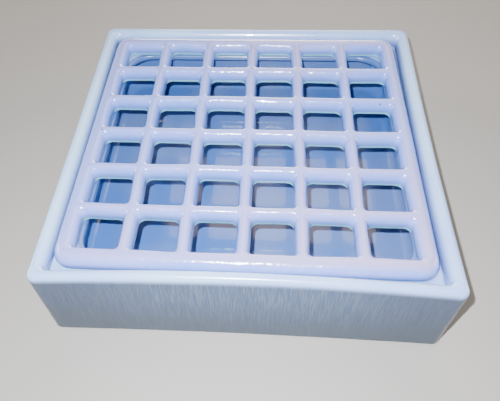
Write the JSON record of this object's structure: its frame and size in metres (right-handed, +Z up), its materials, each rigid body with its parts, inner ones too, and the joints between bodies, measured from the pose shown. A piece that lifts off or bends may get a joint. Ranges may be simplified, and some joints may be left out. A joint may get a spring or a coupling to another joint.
{
  "type": "flower frog",
  "caption": "Square glazed ceramic flower frog: a low tray with a ledge inside its rim and a lift-out lattice of rounded-square stem holes.",
  "frame": {"origin": "centre of the bounding box at the tray's base", "axes": "+Z up, out of the tray's mouth; X and Y square to the tray's sides"},
  "size_m": [0.15, 0.15, 0.038],
  "materials": {
    "tray_glaze": "glossy pale blue-grey glaze, thin and cooler on the walls",
    "grid_glaze": "glossy pale lavender-blue glaze pooling bluer in the holes"
  },
  "bodies": {
    "tray": {"tray": "tray_glaze"},
    "grid": {"grid": "grid_glaze"}
  },
  "joints": [
    {"name": "grid_lift", "type": "slide", "parent": "tray", "child": "grid", "axis": [0, 0, 1], "range_m": [0, 0.045]}
  ]
}
